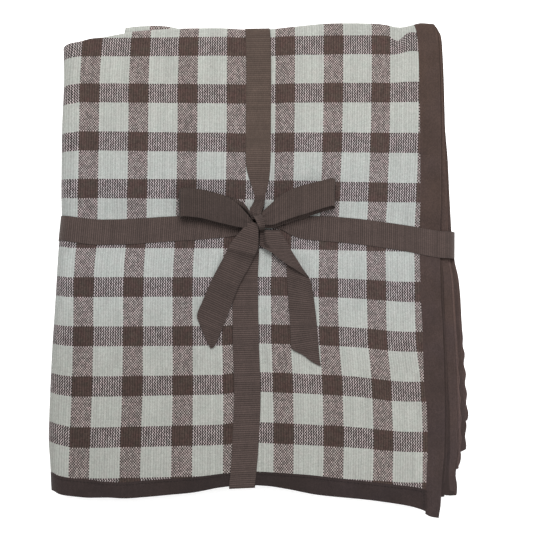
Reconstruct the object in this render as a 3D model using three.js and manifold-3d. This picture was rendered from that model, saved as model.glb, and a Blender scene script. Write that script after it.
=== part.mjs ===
// A check tablecloth with plain sewn-on bands, folded in half twice each way into a flat bundle,
// and tied lengthwise and crosswise with one ribbon in a bow.
// Millimetres. +X is the bundle's right, +Y its far end, +Z up. The bundle lies on z = 0.
import * as THREE from 'three';
import Module from 'manifold-3d';

const wasm = await Module();
wasm.setup();

// Cloth
const sheetThickness = 1.15;
const sheetPitch = 1.75;
const bandWidth = 19;
const pieceGap = 0.6;

// How far the bands across the ends stand out past the bands along the sides
const endBandProud = 2.2;

// Ribbon
const ribbonWidth = 25;
const ribbonThickness = 1;
const ribbonGap = 0.7;
const ribbonBedDepth = 1.5;

// How far the ribbon stays clear of the square edges of the hems it goes round
const clearEdge = 2.6;

// Where the top sheet's four edges lie, and how far back the hidden first folds stay
const bundle = { left: -199, right: 178, near: -219, far: 247 };
const foldInset = { across: 10, along: 4 };

// The ribbon's two lines before the bundle is bent to its real outline
const lengthwiseX = -8;
const crosswiseY = 36;

// One strip is the four sheets of the cloth folded lengthwise, and the bundle is four strips
const sheetsPerStrip = 4;
const stripPitch = sheetsPerStrip * sheetPitch;
const stripHalf = 1.5 * sheetPitch + sheetThickness / 2;
const bundleHalf = 1.5 * stripPitch + stripHalf;
const bundleHeight = 2 * bundleHalf;

// Stops of the mesh along each run. They bracket the ribbon's bed, where the cloth dips. The top
// runs have their own, for the outline, and the runs below them bracket the folds that stand out.
const bedHalf = 14;
const bedSlope = 22;
const seamX = bundle.right - bandWidth - 2 * pieceGap;
const seamY = bundle.near + bandWidth + pieceGap;
const bedStops = [-bedHalf - bedSlope, -bedHalf, bedHalf, bedHalf + bedSlope];
const bedStopsX = bedStops.map((stop) => lengthwiseX + stop);
const bedStopsY = bedStops.map((stop) => crosswiseY + stop);
const stopsX = [-137, -131, -75, ...bedStopsX, 95, seamX];
const stopsY = [seamY, -172, -100, ...bedStopsY, 150, 205];
const topStopsX = [-166, -128, -75, ...bedStopsX, 75, 118, 141, seamX];
const topStopsY = [seamY, -172, -120, -50, ...bedStopsY, 150, 205, 232];
const sectionTurnSteps = { outer: 6, inner: 3, first: 3 };
const pathTurnSteps = { outer: 8, inner: 4, first: 3 };

// Outline of the top sheet, as shifts of its four straight edges
const leftEdge = [
  { y: -219, shift: -0.5 }, { y: -196, shift: -1.5 }, { y: -165, shift: -4 }, { y: -100, shift: -3 },
  { y: -25, shift: 0 }, { y: 25, shift: 2 }, { y: 41, shift: 4 }, { y: 60, shift: 3.5 },
  { y: 140, shift: 2.5 }, { y: 200, shift: 3.5 }, { y: 247, shift: 2 },
];
const rightEdge = [
  { y: -238, shift: -6.6 }, { y: -224, shift: -4.6 }, { y: -211, shift: -4 }, { y: -192, shift: -2.3 },
  { y: -173, shift: -0.4 }, { y: -117, shift: 0.5 }, { y: -64, shift: -0.1 }, { y: -20, shift: -1.7 },
  { y: 11, shift: -1.5 }, { y: 75, shift: 0.5 }, { y: 148, shift: 1.4 }, { y: 185, shift: 1.3 },
  { y: 222, shift: 0.5 }, { y: 239, shift: -1.3 }, { y: 247, shift: -4.6 },
];
const nearEdge = [
  { x: -196, shift: 6.8 }, { x: -187, shift: 3.2 }, { x: -174, shift: 1.5 }, { x: -160, shift: 0.4 },
  { x: -144, shift: 0.6 }, { x: -127, shift: -0.2 }, { x: -107, shift: 1.1 }, { x: -84, shift: 3 },
  { x: -60, shift: 5 }, { x: -28, shift: 10 }, { x: -1, shift: 11.9 }, { x: 16, shift: 11.2 },
  { x: 32, shift: 8.8 }, { x: 60, shift: 3.3 }, { x: 79, shift: 1.2 }, { x: 108, shift: -1.5 },
  { x: 127, shift: -4.2 }, { x: 142, shift: -7.1 }, { x: 154, shift: -10.8 }, { x: 163, shift: -14.7 },
  { x: 178, shift: -16.5 },
];
const farEdge = [
  { x: -199, shift: -21 }, { x: -181, shift: -18.4 }, { x: -169, shift: -15.2 }, { x: -157, shift: -13.9 },
  { x: -145, shift: -11.5 }, { x: -127, shift: -8.7 }, { x: -108, shift: -7 }, { x: -85, shift: -5.2 },
  { x: -50, shift: -4.8 }, { x: -14, shift: -5.1 }, { x: 10, shift: -4.5 }, { x: 22, shift: -3.8 },
  { x: 46, shift: -1.6 }, { x: 70, shift: 0.2 }, { x: 94, shift: 0.5 }, { x: 118, shift: 0.1 },
  { x: 130, shift: -1.3 }, { x: 142, shift: -3.9 }, { x: 154, shift: -1.9 }, { x: 166, shift: 0.7 },
  { x: 178, shift: 0 },
];
const edgeReach = { left: 250, right: 270, near: 290, far: 110 };

// Below the top sheet the eight hems at the right fan out, and their near corners draw back.
// The two strips below the eighth sheet stay nearer in.
const fanReach = [
  { y: -236, reach: 34 }, { y: -214, reach: 30 }, { y: -193, reach: 25.2 }, { y: -144, reach: 24.8 },
  { y: -123, reach: 23.5 }, { y: -99, reach: 22.7 }, { y: -76, reach: 21.8 }, { y: -53, reach: 21.1 },
  { y: -29, reach: 21.4 }, { y: -17, reach: 20.8 }, { y: -5, reach: 19.5 }, { y: 8, reach: 16.7 },
  { y: 54, reach: 11.7 }, { y: 75, reach: 10.3 }, { y: 111, reach: 8.7 }, { y: 148, reach: 6.3 },
  { y: 222, reach: 6 }, { y: 238, reach: 6.5 }, { y: 247, reach: 4 },
];
const sheetFan = [
  { sheet: 0, reachShare: 0, lift: 0 }, { sheet: 1, reachShare: 0.12, lift: 19 },
  { sheet: 2, reachShare: 0.5, lift: 15 }, { sheet: 3, reachShare: 0.55, lift: 17 },
  { sheet: 4, reachShare: 0.65, lift: 39 }, { sheet: 5, reachShare: 0.7, lift: 43 },
  { sheet: 6, reachShare: 0.9, lift: 61 }, { sheet: 7, reachShare: 1, lift: 88 },
];
const hemSheets = 8;
const kneeSheet = 2;
const lowerStrips = { reachShare: 0.75, lift: 36 };
const fanFrom = 60;
const cornerFrom = { x: 60, y: -10 };

// The bands' seams lie a little off the even width, where the bands curl over the edges
const endSeam = [
  { y: -228, shift: 6.5 }, { y: -207, shift: 5.5 }, { y: -172, shift: 4.4 }, { y: -133, shift: 3.2 },
  { y: -107, shift: 0.8 }, { y: -30, shift: 1 }, { y: 68, shift: 0.2 },
];
const sideSeam = [
  { x: -196, shift: -2.2 }, { x: -160, shift: -2.7 }, { x: -144, shift: -5 }, { x: -107, shift: -4.1 },
  { x: -60, shift: -4.8 }, { x: -28, shift: -6.1 }, { x: 16, shift: -5.9 }, { x: 32, shift: -4.7 },
  { x: 60, shift: -1.9 }, { x: 108, shift: -2.8 }, { x: 127, shift: -2.7 }, { x: 142, shift: -1.9 },
  { x: 154, shift: -0.8 }, { x: 178, shift: 0 },
];
const seamReach = 45;

// The far folds under the top strip stand out near the left, from a sharp corner to nothing
const peekReach = [
  { x: -137, reach: 0 }, { x: -131, reach: 9 }, { x: -110, reach: 8.5 }, { x: -95, reach: 6 },
  { x: -75, reach: 0 },
];
const peekFrom = 190;

// How far the ribbon's two lines wander from straight
const lengthwiseWander = [
  { y: -219, shift: -7.4 }, { y: -132, shift: -2.3 }, { y: -72, shift: -4.5 }, { y: -35, shift: -5 },
  { y: 36, shift: 5 }, { y: 60, shift: 6.5 }, { y: 247, shift: 7.7 },
];
const crosswiseWander = [
  { x: -199, shift: 5.5 }, { x: -155, shift: 0.5 }, { x: -77, shift: 4.6 }, { x: -8, shift: 8 },
  { x: 30, shift: 3 }, { x: 89, shift: 1.5 }, { x: 138, shift: -4.4 }, { x: 178, shift: -11 },
];
const wanderReach = 95;

// Top of the bundle: four soft pillows between the ribbon's lines
const pillowHeight = 1.5;
const ribbonDip = 1.5;

// Width of the ribbon along its two lines, gathered towards the knot
const lengthwiseWidth = [
  { y: -30, width: 25 }, { y: 0, width: 18 }, { y: 36, width: 8 }, { y: 62, width: 8 },
  { y: 88, width: 17 }, { y: 112, width: 25 },
];
const crosswiseWidth = [
  { x: -62, width: 25 }, { x: -38, width: 18 }, { x: -14, width: 8 }, { x: 16, width: 5 },
  { x: 30, width: 12 }, { x: 46, width: 20 }, { x: 64, width: 25 },
];

// Bow. The rows run from the knot outwards. far and near are the ribbon's two edges.
const knot = {
  x: -1.5, y: 47, length: 15, halfWidth: 11.5, halfHeight: 6.5, rings: 7, around: 16, bluntness: 0.6,
};
const leftLoop = [
  { x: -1, far: 51, near: 43 }, { x: -12, far: 56, near: 40.5 }, { x: -22, far: 67.5, near: 42 },
  { x: -34, far: 71.5, near: 44.5 }, { x: -49, far: 75, near: 48 }, { x: -61, far: 77, near: 50.6 },
  { x: -73, far: 77.8, near: 52 },
];
const rightLoop = [
  { x: -1, far: 51, near: 43 }, { x: 12, far: 63, near: 42.5 }, { x: 23, far: 72, near: 46 },
  { x: 35, far: 78, near: 50.2 }, { x: 47, far: 81.7, near: 53.7 }, { x: 60, far: 85, near: 58 },
  { x: 71, far: 88, near: 61 },
];
const loopHeight = [
  { along: 0, lower: 4, upper: 6.5 }, { along: 0.2, lower: 4, upper: 10.5 },
  { along: 0.5, lower: 4, upper: 13.5 }, { along: 0.8, lower: 4, upper: 13 },
  { along: 1, lower: 4.2, upper: 12 },
];
const loopPlyShift = -2.6;
const leftTail = [
  { lx: -6, ly: 46, rx: 0, ry: 46, lz: 5, rz: 5 },
  { lx: -15, ly: 36.5, rx: -1, ry: 35, lz: 5, rz: 5.5 },
  { lx: -22.4, ly: 31.3, rx: -0.7, ry: 26, lz: 3.5, rz: 5.5 },
  { lx: -29.2, ly: 21.5, rx: -2, ry: 14, lz: 3, rz: 4 },
  { lx: -35.4, ly: 11.7, rx: -8.4, ry: 2.9, lz: 2.6, rz: 3.4 },
  { lx: -44.3, ly: -7.8, rx: -17.4, ry: -15.6, lz: 1.6, rz: 3 },
  { lx: -51, ly: -26.3, rx: -26, ry: -35, lz: 1.2, rz: 2.8 },
  { lx: -60.5, ly: -46.7, rx: -36, ry: -57, lz: 1.2, rz: 1.6 },
  { lx: -53, ly: -62.5, rx: -40.5, ry: -68, lz: 1.2, rz: 1.2 },
  { lx: -47, ly: -77, rx: -44.5, ry: -76, lz: 1.2, rz: 1.2 },
];
const rightTail = [
  { lx: -2, ly: 46, rx: 4, ry: 46, lz: 5, rz: 5 },
  { lx: 3.4, ly: 33, rx: 18, ry: 39, lz: 4.5, rz: 5.5 },
  { lx: 4.6, ly: 23, rx: 26.5, ry: 27, lz: 3, rz: 7 },
  { lx: 13, ly: 15.6, rx: 35, ry: 13.2, lz: 3, rz: 8 },
  { lx: 25.6, ly: 6.8, rx: 48.8, ry: -6.8, lz: 6.5, rz: 7 },
  { lx: 26, ly: -2, rx: 49.5, ry: -12, lz: 3, rz: 3 },
  { lx: 26.6, ly: -16.6, rx: 51.6, ry: -20, lz: 1.4, rz: 1.4 },
  { lx: 29.6, ly: -44.7, rx: 55.4, ry: -46, lz: 1.2, rz: 1.2 },
  { lx: 30.3, ly: -75, rx: 57.5, ry: -82, lz: 1.2, rz: 1.2 },
  { lx: 54, ly: -93.6, rx: 60, ry: -93.4, lz: 1.2, rz: 1.2 },
];

const weave = new THREE.MeshStandardMaterial({ color: 0x9a928c, roughness: 0.9, metalness: 0 });
const band = new THREE.MeshStandardMaterial({ color: 0x504542, roughness: 0.9, metalness: 0 });
const ribbed = new THREE.MeshStandardMaterial({ color: 0x574b45, roughness: 0.75, metalness: 0 });

// Straight-line reading of a table's column
function readTable(rows, key, value, at) {
  const last = rows.length - 1;
  if (at <= rows[0][key]) return rows[0][value];
  if (at >= rows[last][key]) return rows[last][value];
  const after = rows.findIndex((row) => row[key] > at);
  const low = rows[after - 1];
  const high = rows[after];
  const share = (at - low[key]) / (high[key] - low[key]);
  return low[value] + share * (high[value] - low[value]);
}

function clamp01(value) {
  return Math.min(1, Math.max(0, value));
}

function smooth(value) {
  const t = clamp01(value);
  return t * t * (3 - 2 * t);
}

// 1 in the ribbon's bed, falling to 0 beside it
function bedAcross(distance) {
  return clamp01((bedHalf + bedSlope - Math.abs(distance)) / bedSlope);
}

// Heights of the bundle's top and underside, from the straight coordinates
function topHeight(x, y) {
  const bed = Math.max(bedAcross(x - lengthwiseX), bedAcross(y - crosswiseY));
  return bundleHeight + pillowHeight * (1 - bed) - ribbonDip * bed;
}

function undersideHeight(x, y) {
  const bed = Math.max(bedAcross(x - lengthwiseX), bedAcross(y - crosswiseY));
  return ribbonBedDepth * bed;
}

// How many sheets lie above a height. It is level through a sheet and changes in the gaps.
function sheetsAbove(z) {
  const position = (bundleHeight - sheetThickness / 2 - z) / sheetPitch;
  const whole = Math.floor(position);
  const level = sheetThickness / 2 / sheetPitch;
  const climb = clamp01((position - whole - level) / (1 - 2 * level));
  return Math.min(hemSheets - 1, Math.max(0, whole + climb));
}

// Share of a seam's shift at a place: all of it on the seam, none on the hem or well inside
function seamShare(fromHem, seam, inside) {
  return smooth(fromHem < seam ? fromHem / seam : 1 - (fromHem - seam) / inside);
}

// Bends the straight bundle in plan to its real outline
function bendPlan(x, y, z) {
  const above = sheetsAbove(z);
  const isLower = z < bundleHalf;
  const reachShare = isLower ? lowerStrips.reachShare : readTable(sheetFan, 'sheet', 'reachShare', above);
  const lift = isLower ? lowerStrips.lift : readTable(sheetFan, 'sheet', 'lift', above);
  const lengthwiseShare = 1 - clamp01(Math.abs(x - lengthwiseX) / wanderReach);
  const crosswiseShare = 1 - clamp01(Math.abs(y - crosswiseY) / wanderReach);
  let bentX = x + readTable(lengthwiseWander, 'y', 'shift', y) * lengthwiseShare;
  let bentY = y + readTable(crosswiseWander, 'x', 'shift', x) * crosswiseShare;
  bentX += readTable(leftEdge, 'y', 'shift', y) * clamp01(1 - (x - bundle.left) / edgeReach.left);
  bentY += readTable(nearEdge, 'x', 'shift', x) * clamp01(1 - (y - bundle.near) / edgeReach.near);
  bentY += readTable(farEdge, 'x', 'shift', x) * clamp01(1 - (bundle.far - y) / edgeReach.far);
  bentY += readTable(sideSeam, 'x', 'shift', x) * seamShare(y - bundle.near, seamY - bundle.near, seamReach);
  const cornerX = smooth((x - cornerFrom.x) / (bundle.right - cornerFrom.x));
  const cornerY = smooth((cornerFrom.y - y) / (cornerFrom.y - bundle.near));
  bentY += lift * cornerX * cornerY;
  const belowTopStrip = clamp01((bundleHeight - stripPitch / 2 - z) / stripPitch);
  const peekShare = smooth((y - peekFrom) / (bundle.far - peekFrom));
  bentY += readTable(peekReach, 'x', 'reach', x) * belowTopStrip * peekShare;
  bentX += readTable(rightEdge, 'y', 'shift', bentY) * clamp01(1 - (bundle.right - x) / edgeReach.right);
  const fan = smooth((x - fanFrom) / (bundle.right - fanFrom));
  bentX += readTable(fanReach, 'y', 'reach', bentY) * reachShare * fan;
  bentX += readTable(endSeam, 'y', 'shift', bentY) * seamShare(bundle.right - x, bundle.right - seamX, seamReach);
  return { x: bentX, y: bentY };
}

// Carries a point of the straight bundle to its real place
function settle(x, y, z) {
  const plan = bendPlan(x, y, z);
  const under = undersideHeight(x, y);
  const scale = (topHeight(x, y) - under) / bundleHeight;
  return [plan.x, plan.y, under + z * scale];
}

// Centre line of something folded in half twice, seen end on. Distance runs from the hems
// towards the turn, height is from the middle, and each point has its normal.
function foldTwice({ hem, first, turn, pitch, stops, topStops, steps }) {
  const points = [];
  function run(from, to, height, inner) {
    const heading = Math.sign(to - from);
    const between = inner.filter((stop) => (stop - from) * heading > 0 && (to - stop) * heading > 0);
    between.sort((a, b) => (a - b) * heading);
    for (const along of [from, ...between, to]) {
      points.push({ along, height, normalAlong: 0, normalHeight: heading });
    }
  }
  function bend(centre, height, radius, startAngle, sweep, side, count) {
    for (let step = 1; step < count; step += 1) {
      const angle = startAngle + (sweep * step) / count;
      points.push({
        along: centre + radius * Math.cos(angle),
        height: height + radius * Math.sin(angle),
        normalAlong: side * Math.cos(angle),
        normalHeight: side * Math.sin(angle),
      });
    }
  }
  run(hem, turn, 1.5 * pitch, topStops);
  bend(turn, 0, 1.5 * pitch, Math.PI / 2, -Math.PI, 1, steps.outer);
  run(turn, first, -1.5 * pitch, stops);
  bend(first, -pitch, pitch / 2, -Math.PI / 2, -Math.PI, 1, steps.first);
  run(first, turn, -0.5 * pitch, stops);
  bend(turn, 0, pitch / 2, -Math.PI / 2, Math.PI, -1, steps.inner);
  run(turn, hem, 0.5 * pitch, stops);
  return points;
}

// The strip's section: the four folded sheets as one closed outline of y and height
function stripSection(hem) {
  const line = foldTwice({
    hem,
    first: bundle.near + foldInset.along,
    turn: bundle.far - stripHalf,
    pitch: sheetPitch,
    stops: stopsY,
    topStops: topStopsY,
    steps: sectionTurnSteps,
  });
  const half = sheetThickness / 2;
  const outer = line.map((p) => [p.along + half * p.normalAlong, p.height + half * p.normalHeight]);
  const inner = line.map((p) => [p.along - half * p.normalAlong, p.height - half * p.normalHeight]);
  return [...outer, ...inner.reverse()];
}

// The strip's path across the bundle. Distance is measured leftwards, so x is its opposite.
function stripPath(hemX) {
  return foldTwice({
    hem: -hemX,
    first: -(bundle.right - foldInset.across),
    turn: -(bundle.left + bundleHalf),
    pitch: stripPitch,
    stops: stopsX.map((x) => -x),
    topStops: topStopsX.map((x) => -x),
    steps: pathTurnSteps,
  });
}

// Turns a solid the right way out: its faces' signed volume has to be positive
function faceOutwards(positions, triangles) {
  let volume = 0;
  const a = new THREE.Vector3();
  const b = new THREE.Vector3();
  const c = new THREE.Vector3();
  for (let i = 0; i < triangles.length; i += 3) {
    a.fromArray(positions, 3 * triangles[i]);
    b.fromArray(positions, 3 * triangles[i + 1]);
    c.fromArray(positions, 3 * triangles[i + 2]);
    volume += a.dot(b.cross(c));
  }
  return volume > 0 ? triangles : [...triangles].reverse();
}

function meshGeometry(positions, triangles) {
  const geometry = new THREE.BufferGeometry();
  geometry.setAttribute('position', new THREE.Float32BufferAttribute(positions, 3));
  geometry.setIndex(faceOutwards(positions, triangles));
  geometry.computeVertexNormals();
  return geometry;
}

// Joins a row of like rings of points into one solid, with a cap at each end or closed on itself
function loft(rings, { closed = false, capTriangles } = {}) {
  const count = rings[0].length;
  const positions = rings.flat(2);
  const triangles = [];
  const spans = closed ? rings.length : rings.length - 1;
  for (let ring = 0; ring < spans; ring += 1) {
    const here = ring * count;
    const there = ((ring + 1) % rings.length) * count;
    for (let side = 0; side < count; side += 1) {
      const next = (side + 1) % count;
      triangles.push(here + side, there + side, there + next);
      triangles.push(here + side, there + next, here + next);
    }
  }
  if (!closed) {
    const last = (rings.length - 1) * count;
    for (const [a, b, c] of capTriangles) {
      triangles.push(a, b, c);
      triangles.push(last + a, last + c, last + b);
    }
  }
  return meshGeometry(positions, triangles);
}

// The end of a folded strip is filled between its outer and inner lines, one pair a stop
function stripCap(count) {
  const caps = [];
  for (let side = 0; side < count / 2 - 1; side += 1) {
    const opposite = count - 1 - side;
    caps.push([side, side + 1, opposite - 1]);
    caps.push([side, opposite - 1, opposite]);
  }
  return caps;
}

// Sweeps a section of y and height along the strip's path, then bends it all into place
function sweepStrip(section, path, cap) {
  const rings = path.map((p) => section.map(([y, height]) => settle(
    -(p.along + p.normalAlong * height),
    y,
    bundleHalf + p.height + p.normalHeight * height,
  )));
  return loft(rings, { capTriangles: cap });
}

function clothPanel() {
  const section = stripSection(seamY);
  const path = stripPath(seamX);
  return sweepStrip(section, path, stripCap(section.length));
}

// A band across an end of the cloth: the whole folded section, one band's width long
function endBand(height, heading) {
  const section = stripSection(bundle.near - endBandProud);
  const path = [bundle.right - bandWidth, bundle.right].map((x) => ({
    along: -x,
    height,
    normalAlong: 0,
    normalHeight: heading,
  }));
  return sweepStrip(section, path, stripCap(section.length));
}

// A band along a side of the cloth: a narrow sheet that follows the strip's whole path
function sideBand(level) {
  const half = sheetThickness / 2;
  const low = bundle.near;
  const high = bundle.near + bandWidth;
  const section = [[low, level + half], [high, level + half], [high, level - half], [low, level - half]];
  const path = stripPath(seamX);
  return sweepStrip(section, path, stripCap(section.length));
}

// A ring across the ribbon: two edge points on its lower face, and the same two on its upper face
function ribbonRing(edgeA, edgeB, offset) {
  const lift = (point) => point.map((value, axis) => value + offset[axis]);
  return [edgeA, edgeB, lift(edgeB), lift(edgeA)];
}

const ribbonCap = stripCap(4);

function quarterTurn(centre, height, radius, fromAngle, sweep, steps) {
  return Array.from({ length: steps + 1 }, (_, step) => {
    const angle = fromAngle + (sweep * step) / steps;
    return { along: centre + radius * Math.cos(angle), height: height + radius * Math.sin(angle) };
  });
}

// The ribbon's line round the bundle: over the top, round one side, under it and up the other.
// inside and outside are the same line at the ribbon's two faces.
function ribbonLine(offset, { topStops, firstSide, secondSide }) {
  const top = topStops.map((along) => ({ along, height: bundleHeight + ribbonGap + offset }));
  const bottom = [...topStops].reverse().map((along) => ({ along, height: -ribbonGap - offset }));
  return [...top, ...firstSide(offset), ...bottom, ...secondSide(offset)];
}

// Round a hem side, clear of its square edges, with a stop where the fan's first wide step
// is. The lowest hem is at half height.
function hemSide(edge, outwards) {
  return (offset) => {
    const radius = clearEdge + offset;
    const high = bundleHeight + ribbonGap - clearEdge;
    const low = -ribbonGap + clearEdge;
    const upper = quarterTurn(0, high, radius, Math.PI / 2, -Math.PI / 2, 2);
    const kneeHeight = bundleHeight - kneeSheet * sheetPitch;
    const middle = [{ along: radius, height: kneeHeight }, { along: radius, height: bundleHalf }];
    const lower = quarterTurn(0, low, radius, 0, -Math.PI / 2, 2);
    return [...upper, ...middle, ...lower].map((p) => ({ along: edge + outwards * p.along, height: p.height }));
  };
}

// Round the four folds of the strips at the far side
function foldSide(edge, outwards) {
  return (offset) => {
    const radius = stripHalf + ribbonGap + offset;
    const upper = quarterTurn(0, bundleHeight - stripHalf, radius, Math.PI / 2, -Math.PI / 2, 3);
    const lower = quarterTurn(0, stripHalf, radius, 0, -Math.PI / 2, 3);
    return [...upper, ...lower].map((p) => ({ along: edge + outwards * p.along, height: p.height }));
  };
}

// Round the one big turn at the left
function turnSide(centre, outwards) {
  return (offset) => quarterTurn(0, bundleHalf, bundleHalf + ribbonGap + offset,
    Math.PI / 2, -Math.PI, pathTurnSteps.outer)
    .map((p) => ({ along: centre + outwards * p.along, height: p.height }));
}

// A point of the ribbon goes with the cloth under it, and the underside run lies on the surface
function settleRibbon(x, y, z) {
  const [bentX, bentY, bentZ] = settle(x, y, z);
  if (z > 0) return [bentX, bentY, bentZ];
  const isOuter = z < -ribbonGap - ribbonThickness / 2;
  return [bentX, bentY, isOuter ? 0 : ribbonThickness];
}

function lengthwiseRibbon() {
  const shape = {
    topStops: [bundle.far - stripHalf, 205, 150, 112, 88, 62, 50, 36, 22, 0, -30, -60, -112, -165, bundle.near],
    firstSide: hemSide(bundle.near, -1),
    secondSide: (offset) => foldSide(bundle.far - stripHalf, 1)(offset).reverse(),
  };
  const inside = ribbonLine(0, shape);
  const outside = ribbonLine(ribbonThickness, shape);
  const rings = inside.map((low, index) => {
    const high = outside[index];
    const onTop = low.height > bundleHeight;
    const half = (onTop ? readTable(lengthwiseWidth, 'y', 'width', low.along) : ribbonWidth) / 2;
    return [
      settleRibbon(lengthwiseX - half, low.along, low.height),
      settleRibbon(lengthwiseX + half, low.along, low.height),
      settleRibbon(lengthwiseX + half, high.along, high.height),
      settleRibbon(lengthwiseX - half, high.along, high.height),
    ];
  });
  return loft(rings, { closed: true });
}

function crosswiseRibbon() {
  const shape = {
    topStops: [bundle.left + bundleHalf, -150, -105, -62, -38, -22, 6, 16, 30, 48, 64, 92, 130, 160, bundle.right],
    firstSide: hemSide(bundle.right, 1),
    secondSide: (offset) => turnSide(bundle.left + bundleHalf, -1)(offset).reverse(),
  };
  const inside = ribbonLine(0, shape);
  const outside = ribbonLine(ribbonThickness, shape);
  const rings = inside.map((low, index) => {
    const high = outside[index];
    const onTop = low.height > bundleHeight;
    const half = (onTop ? readTable(crosswiseWidth, 'x', 'width', low.along) : ribbonWidth) / 2;
    return [
      settleRibbon(low.along, crosswiseY + half, low.height),
      settleRibbon(low.along, crosswiseY - half, low.height),
      settleRibbon(high.along, crosswiseY - half, high.height),
      settleRibbon(high.along, crosswiseY + half, high.height),
    ];
  });
  return loft(rings, { closed: true });
}

const bowBase = bundleHeight - ribbonDip;

// A loop of the bow: out along the lower ply, round the tip and back along the upper ply
function bowLoop(rows, outwards) {
  const tipRow = rows[rows.length - 1];
  const reach = Math.abs(tipRow.x - rows[0].x);
  const half = ribbonThickness / 2;
  const ply = (side, shift) => rows.map((row) => {
    const along = Math.abs(row.x - rows[0].x) / reach;
    const height = bowBase + readTable(loopHeight, 'along', side, along);
    return { x: row.x, far: row.far + shift, near: row.near + shift, height };
  });
  const lower = ply('lower', loopPlyShift);
  const upper = ply('upper', 0).reverse();
  const tipLow = lower[lower.length - 1];
  const tipHigh = upper[0];
  const tipRadius = (tipHigh.height - tipLow.height) / 2;
  const tip = [1, 2, 3].map((step) => {
    const angle = -Math.PI / 2 + (step * Math.PI) / 4;
    const share = step / 4;
    return {
      x: tipRow.x + outwards * tipRadius * Math.cos(angle),
      far: tipLow.far + share * (tipHigh.far - tipLow.far),
      near: tipLow.near + share * (tipHigh.near - tipLow.near),
      height: tipLow.height + tipRadius + tipRadius * Math.sin(angle),
    };
  });
  const line = [...lower, ...tip, ...upper];
  const rings = line.map((point, index) => {
    const before = line[Math.max(0, index - 1)];
    const after = line[Math.min(line.length - 1, index + 1)];
    const run = new THREE.Vector2(after.x - before.x, after.height - before.height).normalize();
    const normal = [-run.y * half, 0, run.x * half];
    const farPoint = [point.x - normal[0], point.far, point.height - normal[2]];
    const nearPoint = [point.x - normal[0], point.near, point.height - normal[2]];
    return ribbonRing(farPoint, nearPoint, normal.map((value) => 2 * value));
  });
  return loft(rings, { capTriangles: ribbonCap });
}

// Where the tails rest: this far above the highest the cloth stands
const tailRest = 0.2;
const restHeight = bundleHeight + pillowHeight + tailRest;

function tail(rows) {
  const rings = rows.map((row) => ribbonRing(
    [row.lx, row.ly, restHeight + row.lz - ribbonThickness],
    [row.rx, row.ry, restHeight + row.rz - ribbonThickness],
    [0, 0, ribbonThickness],
  ));
  return loft(rings, { capTriangles: ribbonCap });
}

// A rounded body turned about the crosswise line. Its ends are blunter than an ellipsoid's.
function knotBody() {
  const { rings, around, bluntness } = knot;
  const profile = Array.from({ length: rings + 1 }, (_, step) => {
    const angle = (Math.PI * step) / rings;
    const radius = step === 0 || step === rings ? 0 : Math.sin(angle) ** bluntness;
    return new THREE.Vector2(radius, -Math.cos(angle) / 2);
  });
  const geometry = new THREE.LatheGeometry(profile, around);
  geometry.rotateZ(-Math.PI / 2);
  geometry.scale(knot.length, knot.halfWidth, knot.halfHeight);
  geometry.translate(knot.x, knot.y, bowBase + ribbonGap + knot.halfHeight);
  return geometry;
}

// Reads a geometry into a solid that can be joined to others
function toSolid(geometry) {
  const source = geometry.getAttribute('position');
  const places = new Map();
  const vertices = [];
  const indexOf = Array.from({ length: source.count }, (_, index) => {
    const point = [source.getX(index), source.getY(index), source.getZ(index)];
    const key = point.map((value) => Math.round(value * 1e4)).join(',');
    if (!places.has(key)) {
      places.set(key, vertices.length / 3);
      vertices.push(...point);
    }
    return places.get(key);
  });
  const triangles = [];
  const index = geometry.getIndex().array;
  for (let i = 0; i < index.length; i += 3) {
    const corners = [indexOf[index[i]], indexOf[index[i + 1]], indexOf[index[i + 2]]];
    if (new Set(corners).size === 3) triangles.push(...corners);
  }
  const mesh = new wasm.Mesh({
    numProp: 3,
    vertProperties: new Float32Array(vertices),
    triVerts: new Uint32Array(faceOutwards(vertices, triangles)),
  });
  return new wasm.Manifold(mesh);
}

function join(geometries) {
  const solid = geometries.map(toSolid).reduce((whole, piece) => whole.add(piece));
  const result = solid.getMesh();
  return meshGeometry(Array.from(result.vertProperties), Array.from(result.triVerts));
}

function tiedRibbon() {
  return join([
    lengthwiseRibbon(),
    crosswiseRibbon(),
    bowLoop(leftLoop, -1),
    bowLoop(rightLoop, 1),
    tail(leftTail),
    tail(rightTail),
    knotBody(),
  ]);
}

const tablecloth = new THREE.Group();

function addPiece(name, geometry, material) {
  const piece = new THREE.Mesh(geometry, material);
  piece.name = name;
  tablecloth.add(piece);
}

addPiece('cloth_panel', clothPanel(), weave);
addPiece('band_end_upper', endBand(1.5 * stripPitch, 1), band);
addPiece('band_end_lower', endBand(0.5 * stripPitch, -1), band);
addPiece('band_side_upper', sideBand(1.5 * sheetPitch), band);
addPiece('band_side_lower', sideBand(0.5 * sheetPitch), band);
addPiece('ribbon', tiedRibbon(), ribbed);

// The origin is under the middle of the outline, on the surface
const outline = new THREE.Box3().setFromObject(tablecloth);
const middle = outline.getCenter(new THREE.Vector3());
tablecloth.position.set(-middle.x, -middle.y, 0);

export default tablecloth;
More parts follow.
